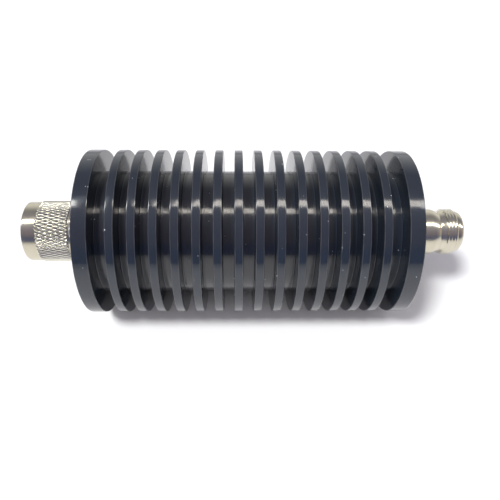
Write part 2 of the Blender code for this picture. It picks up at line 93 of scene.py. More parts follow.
# Studio. The part lies on a white table in a dim room with a bright wall behind it. Above it hangs a
# warm fitting with five tubes, with a plain bright fitting in line on each side. A high key lamp at
# the left front gives the shadow, and a wide fill lamp softens it.
def add_node(tree, kind, feeds=None, **settings):
    """A shader node with its settings made and its sockets filled or linked."""
    made = tree.nodes.new("ShaderNode" + kind)
    for name, value in settings.items():
        setattr(made, name, value)
    for place, value in (feeds or {}).items():
        if isinstance(value, bpy.types.NodeSocket):
            tree.links.new(value, made.inputs[place])
        else:
            made.inputs[place].default_value = value
    return made


def object_from(bm, name):
    """A linked object with this mesh, its faces pointing outwards."""
    bmesh.ops.recalc_face_normals(bm, faces=bm.faces)
    mesh = bpy.data.meshes.new(name)
    bm.to_mesh(mesh)
    bm.free()
    piece = bpy.data.objects.new(name, mesh)
    bpy.context.scene.collection.objects.link(piece)
    return piece


table_height = cad_low.z
table_paint = bpy.data.materials.new("table_white")
table_paint.use_nodes = True
tree = table_paint.node_tree
tree.nodes.clear()
spot = add_node(tree, "TexCoord").outputs["Object"]
away = add_node(tree, "VectorMath", {0: spot}, operation="LENGTH").outputs["Value"]
# As bright surfaces see it, the table darkens away from the middle: painted shade for light that falls off
# with distance. The camera sees it evenly white.
painted_falloff_white = add_node(tree, "MapRange", {0: away, 1: 0.08, 2: 0.55, 3: 0.84, 4: 0.44}).outputs[0]
seen = add_node(tree, "LightPath").outputs["Is Camera Ray"]
white = add_node(tree, "MapRange", {0: seen, 3: painted_falloff_white, 4: 0.95}).outputs[0]
paint = add_node(tree, "BsdfDiffuse", {"Color": white})
tree.links.new(paint.outputs[0], add_node(tree, "OutputMaterial").inputs["Surface"])
bm = bmesh.new()
bmesh.ops.create_grid(bm, x_segments=1, y_segments=1, size=8.0,
                      matrix=Matrix.Translation((0.0, 0.0, table_height)))
table = object_from(bm, "table_top")
table.data.materials.append(table_paint)

room = bpy.data.worlds.new("dim_room")
bpy.context.scene.world = room
room.use_nodes = True
tree = room.node_tree
tree.nodes.clear()
toward = add_node(tree, "SeparateXYZ", {0: add_node(tree, "TexCoord").outputs["Generated"]})
front = add_node(tree, "Math", {0: toward.outputs["Y"], 1: -1.0}, operation="MULTIPLY")
climb = add_node(tree, "Math", {0: toward.outputs["Z"], 1: front.outputs[0]}, operation="ARCTAN2")
share = add_node(tree, "MapRange", {0: climb.outputs[0], 1: 0.0, 2: math.pi})
walls = add_node(tree, "ValToRGB", {0: share.outputs[0]})
room_colours = ((0.0, (0.12, 0.14, 0.25)), (0.10, (0.12, 0.135, 0.24)), (0.15, (0.21, 0.19, 0.25)),
                (0.27, (0.27, 0.25, 0.33)), (0.41, (0.42, 0.42, 0.50)), (0.50, (0.34, 0.34, 0.40)),
                (0.60, (0.27, 0.265, 0.32)), (0.72, (0.26, 0.26, 0.30)), (0.78, (0.46, 0.46, 0.48)),
                (0.88, (0.78, 0.78, 0.78)), (1.0, (0.92, 0.92, 0.90)))
for number, (place, colour) in enumerate(room_colours):
    stop = walls.color_ramp.elements[number] if number < 2 else walls.color_ramp.elements.new(place)
    stop.position = place
    stop.color = (*colour, 1.0)
back_and_front = add_node(tree, "Background", {"Color": walls.outputs[0], "Strength": 1.0})
warm_sides = add_node(tree, "Background", {"Color": (1.0, 0.90, 0.80, 1.0), "Strength": 0.5})
sideways = add_node(tree, "Math", {0: toward.outputs["X"]}, operation="ABSOLUTE")
at_side = add_node(tree, "MapRange", {0: sideways.outputs[0], 1: 0.80, 2: 0.92})
above = add_node(tree, "MapRange", {0: toward.outputs["Z"], 1: 0.0, 2: 0.08})
side_share = add_node(tree, "Math", {0: at_side.outputs[0], 1: above.outputs[0]}, operation="MULTIPLY")
seen_room = add_node(tree, "MixShader", {0: side_share.outputs[0], 1: back_and_front.outputs[0],
                                         2: warm_sides.outputs[0]})
white_room = add_node(tree, "Background", {"Color": (1.0, 1.0, 1.0, 1.0), "Strength": 1.0})
pick = add_node(tree, "MixShader", {0: add_node(tree, "LightPath").outputs["Is Camera Ray"],
                                    1: seen_room.outputs[0], 2: white_room.outputs[0]})
tree.links.new(pick.outputs[0], add_node(tree, "OutputWorld").inputs["Surface"])


def area_lamp(name, colour, radiance, low, high, height):
    """A level lamp facing down, between two (x, y) corners, that only shows in bright surfaces."""
    lamp = bpy.data.lights.new(name, "AREA")
    lamp.shape = "RECTANGLE"
    lamp.size = high[0] - low[0]
    lamp.size_y = high[1] - low[1]
    lamp.color = colour
    lamp.energy = 4.0 * radiance * lamp.size * lamp.size_y
    holder = bpy.data.objects.new(name, lamp)
    holder.location = ((low[0] + high[0]) / 2, (low[1] + high[1]) / 2, height)
    holder.visible_camera = False
    holder.visible_diffuse = False
    bpy.context.scene.collection.objects.link(holder)


ceiling, above_tubes = 0.60, 0.005
tube_warmth, plain_warmth = (1.0, 0.93, 0.84), (1.0, 0.99, 0.96)
fitting_near, fitting_far = -0.130, -0.040
fitting_left, fitting_right = -0.150, 0.288
tube_half_width = 0.0045
tubes = ((-0.121, -0.125), (-0.103, -0.110), (-0.085, -0.090), (-0.067, -0.070), (-0.049, -0.050))
for number, (tube_y, tube_left) in enumerate(tubes, start=1):
    area_lamp(f"ceiling_tube_{number}", tube_warmth, 8.0, (tube_left, tube_y - tube_half_width),
              (fitting_right, tube_y + tube_half_width), ceiling)
area_lamp("ceiling_fitting", tube_warmth, 0.9, (fitting_left, fitting_near), (fitting_right, fitting_far),
          ceiling + above_tubes)
area_lamp("left_glow", (0.80, 0.93, 1.0), 0.55, (-0.250, -0.080), (-0.190, 0.010), ceiling)
area_lamp("left_fitting", plain_warmth, 10.0, (-0.90, fitting_near), (-0.250, fitting_far), ceiling)
area_lamp("right_fitting", plain_warmth, 4.5, (fitting_right, -0.150), (1.20, -0.025), ceiling)


def far_lamp(name, colour, energy, spread, toward):
    """A distant lamp in this direction, that gives light and shadow but no highlight."""
    lamp = bpy.data.lights.new(name, "SUN")
    lamp.color = colour
    lamp.energy = energy
    lamp.angle = math.radians(spread)
    holder = bpy.data.objects.new(name, lamp)
    holder.rotation_euler = (-Vector(toward)).to_track_quat("-Z", "Y").to_euler()
    holder.visible_glossy = False
    bpy.context.scene.collection.objects.link(holder)


far_lamp("high_key", (1.0, 1.0, 1.0), 2.80, 13, (-0.47, -0.36, 1.0))
far_lamp("front_fill", (1.0, 0.96, 0.90), 0.80, 80, (-0.5, -1.0, 0.7))


# Heat sink. One round aluminium bar, grooved on a lathe into sixteen discs round a solid core and
# bored through, then black anodised. Each end is drilled and tapped for its connector's flange.
def lathe(bm, section, steps, weld=True):
    """Turns (x, radius, corner) rows in millimetres about X. Corners above nought are rounded.

    The section closes on itself, unless it starts on the axis or is an open run to be joined.
    """
    before = set(bm.verts)
    points = [bm.verts.new((x * MM, 0.0, radius * MM)) for x, radius, _ in section]
    runs = list(zip(points, points[1:]))
    if section[0][1] > 0.0 and weld:
        runs.append((points[-1], points[0]))
    for run in runs:
        bm.edges.new(run)
    rows = list(zip(points, section))
    for size in sorted({row[2] for row in section if row[2] > 0.0}):
        corners = [point for point, row in rows if row[2] == size]
        rows = [(point, row) for point, row in rows if row[2] != size]
        bmesh.ops.bevel(bm, geom=corners, offset=size * MM, segments=2, profile=0.5,
                        affect="VERTICES", material=-1)
    fresh = [vert for vert in bm.verts if vert not in before]
    edges = list({edge for vert in fresh for edge in vert.link_edges})
    bmesh.ops.spin(bm, geom=fresh + edges, cent=(0, 0, 0), axis=(1, 0, 0), angle=math.tau,
                   steps=steps, use_merge=True)
    bmesh.ops.remove_doubles(bm, verts=bm.verts, dist=WELD)


def turned(name, section, steps):
    bm = bmesh.new()
    lathe(bm, section, steps)
    return object_from(bm, name)


def add_rod(bm, start, end, radius, place, sides):
    """A straight rod along X at a (y, z) place, in millimetres."""
    middle = Matrix.Translation(((start + end) / 2 * MM, place[0] * MM, place[1] * MM))
    bmesh.ops.create_cone(bm, cap_ends=True, segments=sides, radius1=radius * MM, radius2=radius * MM,
                          depth=abs(end - start) * MM, matrix=middle @ Matrix.Rotation(math.pi / 2, 4, "Y"))


def carve(piece, tool, operation="DIFFERENCE"):
    """Cuts one solid with another, or joins them, and keeps the result as a plain mesh."""
    change = piece.modifiers.new("carve", "BOOLEAN")
    change.solver = "EXACT"
    change.operation = operation
    change.object = tool
    seen = piece.evaluated_get(bpy.context.evaluated_depsgraph_get())
    result = bpy.data.meshes.new_from_object(seen)
    piece.modifiers.clear()
    piece.data = result
    bpy.data.objects.remove(tool)


def dress(piece, material, slot, body, *nodes):
    """Gives a finished piece its paint, its body and the nodes it stands for. The slot argument is not used.
    """
    piece.data.materials.clear()
    piece.data.materials.append(material)
    piece.data.shade_smooth()
    piece.data.set_sharp_from_angle(angle=math.radians(35))
    even = piece.modifiers.new("even_shading", "WEIGHTED_NORMAL")
    even.keep_sharp = True
    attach(piece, body)
    if nodes:
        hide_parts(*nodes)
    return piece


def new_group(name, takes, gives):
    """An empty shader group with number inputs, a Point, and the named outputs."""
    group = bpy.data.node_groups.new(name, "ShaderNodeTree")
    group.interface.new_socket("Point", in_out="INPUT", socket_type="NodeSocketVector")
    for label, value in takes:
        group.interface.new_socket(label, in_out="INPUT", socket_type="NodeSocketFloat").default_value = value
    for label in gives:
        group.interface.new_socket(label, in_out="OUTPUT", socket_type="NodeSocketFloat")
    return group, group.nodes.new("NodeGroupInput").outputs, group.nodes.new("NodeGroupOutput").inputs


def put_group(tree, group, feeds):
    """Places a group in a material with its own values, and gives its outputs."""
    made = tree.nodes.new("ShaderNodeGroup")
    made.node_tree = group
    for label, value in feeds.items():
        if isinstance(value, bpy.types.NodeSocket):
            tree.links.new(value, made.inputs[label])
        else:
            made.inputs[label].default_value = value
    return made.outputs


WELD = 0.001 * MM

# Turned grain: fine rings that the lathe tool leaves, the same all round the X axis.
turned_grain, given, made = new_group("turned_grain", (("Lines", 2500.0), ("Wander", 0.2)),
                                      ("Rings", "Tone", "Radius"))
parts = add_node(turned_grain, "SeparateXYZ", {0: given["Point"]})
across = add_node(turned_grain, "CombineXYZ", {"Y": parts.outputs["Y"], "Z": parts.outputs["Z"]})
radius = add_node(turned_grain, "VectorMath", {0: across.outputs[0]}, operation="LENGTH")
wander = add_node(turned_grain, "TexNoise", {"Vector": given["Point"], "Scale": 180.0, "Detail": 1.0})
shake = add_node(turned_grain, "Math", {0: wander.outputs["Fac"], 1: given["Wander"]}, operation="MULTIPLY")
shake = add_node(turned_grain, "Math", {0: shake.outputs[0], 1: MM}, operation="MULTIPLY")
along = add_node(turned_grain, "Math", {0: parts.outputs["X"], 1: shake.outputs[0]}, operation="ADD")
rings = add_node(turned_grain, "CombineXYZ", {"X": along.outputs[0], "Y": radius.outputs["Value"]})
fine = add_node(turned_grain, "TexNoise", {"Vector": rings.outputs[0], "Scale": given["Lines"], "Detail": 2.0,
                                           "Roughness": 0.6}, noise_dimensions="2D")
slow = add_node(turned_grain, "Math", {0: given["Lines"], 1: 0.12}, operation="MULTIPLY")
broad = add_node(turned_grain, "TexNoise", {"Vector": rings.outputs[0], "Scale": slow.outputs[0],
                                            "Detail": 1.0}, noise_dimensions="2D")
turned_grain.links.new(fine.outputs["Fac"], made["Rings"])
turned_grain.links.new(broad.outputs["Fac"], made["Tone"])
turned_grain.links.new(radius.outputs["Value"], made["Radius"])

# Dust: small pale specks and lint that lie here and there, a fraction of a millimetre across.
dust, given, made = new_group("dust", (("Specks", 700.0), ("Amount", 0.10)), ("Mask",))
cells = add_node(dust, "TexVoronoi", {"Vector": given["Point"], "Scale": given["Specks"]})
luck = add_node(dust, "SeparateColor", {0: cells.outputs["Color"]})
chosen = add_node(dust, "Math", {0: luck.outputs[0], 1: given["Amount"]}, operation="LESS_THAN")
reach = add_node(dust, "MapRange", {0: luck.outputs[1], 3: 0.12, 4: 0.34})
inside = add_node(dust, "Math", {0: cells.outputs["Distance"], 1: reach.outputs[0]}, operation="LESS_THAN")
speck = add_node(dust, "Math", {0: chosen.outputs[0], 1: inside.outputs[0]}, operation="MULTIPLY")
faint = add_node(dust, "Math", {0: speck.outputs[0], 1: luck.outputs[2]}, operation="MULTIPLY")
dust.links.new(faint.outputs[0], made["Mask"])

# Edge wear and sheen: chamfers face neither along X nor square to it, so the way a face points finds them.
# The finish is thin there, unevenly, and only beyond a radius; on the black heat sink the lighter chamfers
# are partly a painted highlight as well.
edge_wear_and_sheen, given, made = new_group("edge_wear_and_sheen", (("Beyond", 0.0),), ("Mask",))
facing = add_node(edge_wear_and_sheen, "SeparateXYZ", {0: add_node(edge_wear_and_sheen, "NewGeometry").outputs["True Normal"]})
tilt = add_node(edge_wear_and_sheen, "Math", {0: facing.outputs["X"]}, operation="ABSOLUTE")
sloped = add_node(edge_wear_and_sheen, "MapRange", {0: tilt.outputs[0], 1: 0.15, 2: 0.30})
square = add_node(edge_wear_and_sheen, "MapRange", {0: tilt.outputs[0], 1: 0.95, 2: 0.98})
not_square = add_node(edge_wear_and_sheen, "Math", {0: 1.0, 1: square.outputs[0]}, operation="SUBTRACT")
parts = add_node(edge_wear_and_sheen, "SeparateXYZ", {0: given["Point"]})
across = add_node(edge_wear_and_sheen, "CombineXYZ", {"Y": parts.outputs["Y"], "Z": parts.outputs["Z"]})
radius = add_node(edge_wear_and_sheen, "VectorMath", {0: across.outputs[0]}, operation="LENGTH")
outer = add_node(edge_wear_and_sheen, "Math", {0: radius.outputs["Value"], 1: given["Beyond"]},
                 operation="GREATER_THAN")
patch = add_node(edge_wear_and_sheen, "TexNoise", {"Vector": given["Point"], "Scale": 260.0, "Detail": 3.0})
uneven = add_node(edge_wear_and_sheen, "MapRange", {0: patch.outputs["Fac"], 1: 0.35, 2: 0.65, 3: 0.35, 4: 1.0})
worn = add_node(edge_wear_and_sheen, "Math", {0: sloped.outputs[0], 1: not_square.outputs[0]}, operation="MULTIPLY")
worn = add_node(edge_wear_and_sheen, "Math", {0: worn.outputs[0], 1: outer.outputs[0]}, operation="MULTIPLY")
worn = add_node(edge_wear_and_sheen, "Math", {0: worn.outputs[0], 1: uneven.outputs[0]}, operation="MULTIPLY")
edge_wear_and_sheen.links.new(worn.outputs[0], made["Mask"])

# Handling: soft clouds of finger grease, which make a finish a little duller in places.
handling, given, made = new_group("handling", (("Size", 120.0),), ("Smear",))
cloud = add_node(handling, "TexNoise", {"Vector": given["Point"], "Scale": given["Size"], "Detail": 4.0,
                                        "Roughness": 0.65, "Distortion": 0.4})
soft = add_node(handling, "MapRange", {0: cloud.outputs["Fac"], 1: 0.35, 2: 0.7})
handling.links.new(soft.outputs[0], made["Smear"])


def new_material(name):
    material = bpy.data.materials.new(name)
    material.use_nodes = True
    tree = material.node_tree
    shader = tree.nodes["Principled BSDF"]
    return material, tree, shader, add_node(tree, "TexCoord").outputs["Object"]


def mixed(tree, factor, first, second):
    """A colour between two, by a mask."""
    blend = tree.nodes.new("ShaderNodeMix")
    blend.data_type = "RGBA"
    for socket, value in ((blend.inputs[0], factor), (blend.inputs[6], first), (blend.inputs[7], second)):
        if isinstance(value, bpy.types.NodeSocket):
            tree.links.new(value, socket)
        else:
            socket.default_value = (*value, 1.0) if isinstance(value, tuple) else value
    return blend.outputs[2]


def ranged(tree, value, low, high, start=0.0, end=1.0):
    """A mask spread between two values."""
    return add_node(tree, "MapRange", {0: value, 1: start, 2: end, 3: low, 4: high}).outputs[0]


def times(tree, first, second):
    return add_node(tree, "Math", {0: first, 1: second}, operation="MULTIPLY").outputs[0]


def plus(tree, first, second):
    return add_node(tree, "Math", {0: first, 1: second}, operation="ADD").outputs[0]


def bumped(tree, height, strength, depth, below=None):
    feeds = {"Strength": strength, "Distance": depth * MM, "Height": height}
    if below is not None:
        feeds["Normal"] = below
    return add_node(tree, "Bump", feeds).outputs[0]


body_left, body_right = (corner.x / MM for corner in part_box("heat_sink"))
fin_radius, core_radius, bore_radius = 27.8, 20.7, 9.0
end_fin, end_gap, fin, fin_count = 4.8, 5.1, 2.7, 14
fin_corner, root_corner, bore_corner = 0.32, 0.25, 0.3
heat_sink_steps = 256
screw_places = [(y, z) for y in (-9.1, 9.1) for z in (-9.1, 9.1)]
thread_hole, hole_depth = 1.8, 6.8

fin_pitch = (body_right - body_left - 2 * (end_fin + end_gap) - fin) / (fin_count - 1)
fins = [(body_left, body_left + end_fin)]
fins += [(body_left + end_fin + end_gap + number * fin_pitch,) * 2 for number in range(fin_count)]
fins = [(left, right if right > left else left + fin) for left, right in fins]
fins.append((body_right - end_fin, body_right))
inner_ring, outer_ring = 10.9, 14.9
section = [(body_left, bore_radius, bore_corner), (body_left, inner_ring, 0.0), (body_left, outer_ring, 0.0)]
for left, right in fins:
    if left > body_left:
        section.append((left, core_radius, root_corner))
    section += [(left, fin_radius, fin_corner), (right, fin_radius, fin_corner)]
    if right < body_right:
        section.append((right, core_radius, root_corner))
section += [(body_right, outer_ring, 0.0), (body_right, inner_ring, 0.0),
            (body_right, bore_radius, bore_corner)]
heat_sink = turned("finned_heat_sink", section, heat_sink_steps)
bm = bmesh.new()
for place in screw_places:
    add_rod(bm, body_left - 1.0, body_left + hole_depth, thread_hole, place, 24)
    add_rod(bm, body_right + 1.0, body_right - hole_depth, thread_hole, place, 24)
carve(heat_sink, object_from(bm, "tapped_holes"))

black, tree, shader, point = new_material("black_anodised_aluminium")
grain = put_group(tree, turned_grain, {"Point": point, "Lines": 2600.0, "Wander": 0.15})
smear = put_group(tree, handling, {"Point": point, "Size": 90.0})["Smear"]
edges = put_group(tree, edge_wear_and_sheen, {"Point": point, "Beyond": 27.2 * MM})
flecks = put_group(tree, dust, {"Point": point, "Specks": 1400.0, "Amount": 0.014})["Mask"]
pores = add_node(tree, "TexNoise", {"Vector": point, "Scale": 2800.0, "Detail": 2.0}).outputs["Fac"]
colour = mixed(tree, grain["Tone"], (0.0135, 0.0200, 0.0305), (0.0160, 0.0230, 0.0345))
colour = mixed(tree, times(tree, smear, 0.35), colour, (0.012, 0.013, 0.018))
# Chamfers on the fins turn brownish grey: partly wear, partly a painted highlight where they catch the lamps.
colour = mixed(tree, times(tree, edges["Mask"], 0.35), colour, (0.12, 0.113, 0.105))
colour = mixed(tree, flecks, colour, (0.62, 0.63, 0.66))
tree.links.new(colour, shader.inputs["Base Color"])
core = ranged(tree, grain["Radius"], 1.0, 0.0, 21.2 * MM, 21.6 * MM)
gloss = plus(tree, ranged(tree, grain["Rings"], 0.08, 0.12), times(tree, smear, 0.04))
gloss = plus(tree, gloss, times(tree, core, ranged(tree, grain["Rings"], 0.0, 0.10, 0.48, 0.60)))
tree.links.new(plus(tree, gloss, times(tree, flecks, 0.5)), shader.inputs["Roughness"])
shader.inputs["IOR"].default_value = 1.75
relief = bumped(tree, grain["Rings"], 0.12, 0.008)
relief = bumped(tree, times(tree, core, grain["Rings"]), 0.12, 0.02, relief)
tree.links.new(bumped(tree, pores, 0.06, 0.010, relief), shader.inputs["Normal"])
dress(heat_sink, black, "black_anodised_aluminium", "attenuator_body", "heat_sink")


# Carrier. A bar sawn lengthwise into two bright half rounds, milled with a channel for the chips
# and drawn together by four small socket screws. It fills the heat sink's bore and isn't seen.
def dress_node(name, material):
    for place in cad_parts[name].material_slots:
        place.material = material


aluminium, tree, shader, point = new_material("bare_aluminium")
strokes = add_node(tree, "Mapping", {"Vector": point, "Scale": (60.0, 2600.0, 2600.0)}).outputs[0]
milled = add_node(tree, "TexNoise", {"Vector": strokes, "Scale": 1.0, "Detail": 3.0}).outputs["Fac"]
smear = put_group(tree, handling, {"Point": point, "Size": 150.0})["Smear"]
colour = mixed(tree, milled, (0.70, 0.71, 0.72), (0.82, 0.82, 0.81))
tree.links.new(mixed(tree, times(tree, smear, 0.3), colour, (0.62, 0.62, 0.61)), shader.inputs["Base Color"])
tree.links.new(plus(tree, ranged(tree, milled, 0.24, 0.38), times(tree, smear, 0.1)),
               shader.inputs["Roughness"])
shader.inputs["Metallic"].default_value = 1.0
tree.links.new(bumped(tree, milled, 0.25, 0.02), shader.inputs["Normal"])
for half in ("carrier_base", "carrier_lid"):
    dress_node(half, aluminium)

steel, tree, shader, point = new_material("stainless_steel")
smear = put_group(tree, handling, {"Point": point, "Size": 500.0})["Smear"]
wear = put_group(tree, edge_wear_and_sheen, {"Point": point})["Mask"]
tumbled = add_node(tree, "TexNoise", {"Vector": point, "Scale": 4200.0, "Detail": 3.0}).outputs["Fac"]
colour = mixed(tree, smear, (0.53, 0.525, 0.515), (0.44, 0.435, 0.43))
tree.links.new(mixed(tree, times(tree, wear, 0.6), colour, (0.70, 0.70, 0.69)), shader.inputs["Base Color"])
tree.links.new(plus(tree, ranged(tree, tumbled, 0.20, 0.30), times(tree, smear, 0.12)),
               shader.inputs["Roughness"])
shader.inputs["Metallic"].default_value = 1.0
tree.links.new(bumped(tree, tumbled, 0.12, 0.01), shader.inputs["Normal"])
for number in range(1, 5):
    dress_node(f"carrier_screw_{number}", steel)


# Attenuating line. Three ceramic chips carry a dark resistive film between gold pads, and gold
# straps and wires join them in a row. A drilled plastic block holds each wire in the channel.
gold, tree, shader, point = new_material("gold_plated_bronze")
grain = put_group(tree, turned_grain, {"Point": point, "Lines": 5200.0, "Wander": 0.1})
smear = put_group(tree, handling, {"Point": point, "Size": 400.0})["Smear"]
wear = put_group(tree, edge_wear_and_sheen, {"Point": point})["Mask"]
colour = mixed(tree, smear, (0.90, 0.66, 0.30), (0.80, 0.55, 0.24))
tree.links.new(mixed(tree, times(tree, wear, 0.5), colour, (0.95, 0.78, 0.48)), shader.inputs["Base Color"])
tree.links.new(plus(tree, ranged(tree, grain["Rings"], 0.14, 0.22), times(tree, smear, 0.08)),
               shader.inputs["Roughness"])
shader.inputs["Metallic"].default_value = 1.0
tree.links.new(bumped(tree, grain["Rings"], 0.12, 0.006), shader.inputs["Normal"])

plastic, tree, shader, point = new_material("white_ptfe")
grain = put_group(tree, turned_grain, {"Point": point, "Lines": 3000.0, "Wander": 0.3})
smear = put_group(tree, handling, {"Point": point, "Size": 300.0})["Smear"]
colour = mixed(tree, grain["Tone"], (0.80, 0.80, 0.78), (0.86, 0.86, 0.85))
tree.links.new(mixed(tree, times(tree, smear, 0.25), colour, (0.72, 0.70, 0.65)), shader.inputs["Base Color"])
tree.links.new(ranged(tree, grain["Rings"], 0.38, 0.50), shader.inputs["Roughness"])
tree.links.new(bumped(tree, grain["Rings"], 0.25, 0.02), shader.inputs["Normal"])

chip_spacing, chip_middle = 22.0, (body_left + body_right) / 2
pad_start, film_half = 4.2, 2.6
ceramic, tree, shader, point = new_material("beige_ceramic")
parts = add_node(tree, "SeparateXYZ", {0: point})
along = plus(tree, parts.outputs["X"], -chip_middle * MM)
along = add_node(tree, "Math", {0: along, 1: chip_spacing / 2 * MM, 2: -chip_spacing / 2 * MM},
                 operation="WRAP").outputs[0]
from_middle = add_node(tree, "Math", {0: along}, operation="ABSOLUTE").outputs[0]
aside = add_node(tree, "Math", {0: parts.outputs["Y"]}, operation="ABSOLUTE").outputs[0]
pads = ranged(tree, from_middle, 0.0, 1.0, pad_start * MM, (pad_start + 0.05) * MM)
film = ranged(tree, aside, 1.0, 0.0, film_half * MM, (film_half + 0.05) * MM)
mottle = add_node(tree, "TexNoise", {"Vector": point, "Scale": 1500.0, "Detail": 3.0}).outputs["Fac"]
colour = mixed(tree, mottle, (0.76, 0.71, 0.62), (0.83, 0.79, 0.71))
colour = mixed(tree, film, colour, (0.07, 0.055, 0.05))
tree.links.new(mixed(tree, pads, colour, (0.88, 0.66, 0.33)), shader.inputs["Base Color"])
tree.links.new(pads, shader.inputs["Metallic"])
tree.links.new(ranged(tree, mottle, 0.35, 0.55), shader.inputs["Roughness"])
tree.links.new(bumped(tree, mottle, 0.2, 0.01), shader.inputs["Normal"])
for chip in ("input_chip", "middle_chip", "output_chip"):
    dress_node(chip, ceramic)
for side in ("input", "output"):
    dress_node(f"{side}_link", gold)
    dress_node(f"{side}_line", gold)
    dress_node(f"{side}_line_support", plastic)


# Plug body. Nickel-plated brass, turned in one with its square flange: a shoulder, and a nose with
# the groove for the ring that keeps the coupling nut on. Four screws hold it to the heat sink.
def outward(face, side, rows):
    """Rows measured outward from one end of the heat sink, as places on X."""
    return [(face + side * row[0], row[1], row[2] if len(row) > 2 else 0.0) for row in rows]


def plain_metal(name, knurl=None):
    """Bright nickel plate over turned brass, a little warm, with faint rings and finger marks."""
    material, tree, shader, point = new_material(name)
    grain = put_group(tree, turned_grain, {"Point": point, "Lines": 4200.0, "Wander": 0.12})
    smear = put_group(tree, handling, {"Point": point, "Size": 260.0})["Smear"]
    wear = put_group(tree, edge_wear_and_sheen, {"Point": point})["Mask"]
    spots = put_group(tree, dust, {"Point": point, "Specks": 900.0, "Amount": 0.02})["Mask"]
    colour = mixed(tree, grain["Tone"], (0.66, 0.615, 0.475), (0.72, 0.675, 0.535))
    colour = mixed(tree, times(tree, smear, 0.30), colour, (0.58, 0.54, 0.42))
    colour = mixed(tree, times(tree, wear, 0.5), colour, (0.80, 0.76, 0.64))
    if knurl is not None:
        rolled, groove_shade = knurl(tree, point)
        colour = mixed(tree, times(tree, rolled, 0.8), colour, (0.94, 0.92, 0.79))
        # The knurl's grooves go nearly black: painted shade in the valleys between the diamonds.
        colour = mixed(tree, groove_shade, colour, (0.07, 0.072, 0.05))
    tree.links.new(mixed(tree, spots, colour, (0.20, 0.19, 0.17)), shader.inputs["Base Color"])
    gloss = plus(tree, ranged(tree, grain["Rings"], 0.10, 0.17), times(tree, smear, 0.12))
    if knurl is not None:
        gloss = plus(tree, gloss, times(tree, rolled, 0.01))
    tree.links.new(gloss, shader.inputs["Roughness"])
    shader.inputs["Metallic"].default_value = 1.0
    tree.links.new(bumped(tree, grain["Rings"], 0.14, 0.008), shader.inputs["Normal"])
    return material


def flange_plate(name, face, side):
    """The square plate behind a connector, with rounded corners and its four screw holes."""
    bm = bmesh.new()
    middle = Matrix.Translation(((face + side * (flange_back + flange_thickness / 2)) * MM, 0.0, 0.0))
    bmesh.ops.create_cube(bm, size=1.0, matrix=middle @ Matrix.Diagonal(
        (flange_thickness * MM, flange_side * MM, flange_side * MM, 1.0)))
    upright = [edge for edge in bm.edges if abs(edge.verts[0].co.x - edge.verts[1].co.x) > WELD]
    bmesh.ops.bevel(bm, geom=upright, offset=flange_corner * MM, segments=8, profile=0.5, affect="EDGES",
                    material=-1)
    rims = [edge for edge in bm.edges if abs(edge.verts[0].co.x - edge.verts[1].co.x) < WELD]
    bmesh.ops.bevel(bm, geom=rims, offset=flange_edge * MM, segments=2, profile=0.5, affect="EDGES",
                    material=-1)
    plate = object_from(bm, name)
    bm = bmesh.new()
    for place in screw_places:
        add_rod(bm, face, face + side * (flange_back + flange_thickness + 1.0), thread_hole, place, 32)
    carve(plate, object_from(bm, name + "_holes"))
    return plate


flange_back, flange_thickness, flange_side = 0.3, 2.4, 25.4
flange_corner, flange_edge = 2.0, 0.2
turned_back = 0.6
shoulder_radius, shoulder_front = 9.75, 5.1
nose_radius, nose_front = 7.8, 11.2
groove_radius, groove_back, groove_front = 6.9, 8.0, 9.6
line_bore, sleeve_bore, sleeve_bore_back = 3.5, 4.9, 1.3
past_nose = 11.5
connector_steps = 128
plug_section = [(turned_back, 0.0), (turned_back, shoulder_radius), (shoulder_front, shoulder_radius, 0.3),
                (shoulder_front, nose_radius, 0.2), (groove_back, nose_radius), (groove_back, groove_radius),
                (groove_front, groove_radius), (groove_front, nose_radius), (nose_front, nose_radius, 0.3),
                (nose_front, 0.0)]
plug_bore = [(0.0, 0.0), (0.0, line_bore), (sleeve_bore_back, line_bore), (sleeve_bore_back, sleeve_bore),
             (past_nose, sleeve_bore), (past_nose, 0.0)]
plug_body = turned("plug_flange_and_nose", outward(body_left, -1, plug_section), connector_steps)
carve(plug_body, flange_plate("plug_flange", body_left, -1), "UNION")
carve(plug_body, turned("plug_bore", outward(body_left, -1, plug_bore), connector_steps))
nickel = plain_metal("nickel_plated_brass")
dress(plug_body, nickel, "nickel_plated_brass", "attenuator_body", "plug_body")
dress_node("nut_retaining_ring", steel)


# Plug contacts. A slotted nickel sleeve springs against the mating jack, round a gold pin with a
# rounded nose in white plastic. A red gasket lies at the sleeve's root and seals the joint.
def slotted(piece, face, side, start, end, reach, width):
    """Two crossed saw cuts from the mouth of a tube, which leave four spring fingers."""
    for turn in (0.0, math.pi / 2):
        bm = bmesh.new()
        middle = Matrix.Translation(((face + side * (start + end) / 2) * MM, 0.0, 0.0))
        size = Matrix.Diagonal(((end - start) * MM, 2 * reach * MM, width * MM, 1.0))
        bmesh.ops.create_cube(bm, size=1.0, matrix=middle @ Matrix.Rotation(turn, 4, "X") @ size)
        carve(piece, object_from(bm, "saw_cut"))


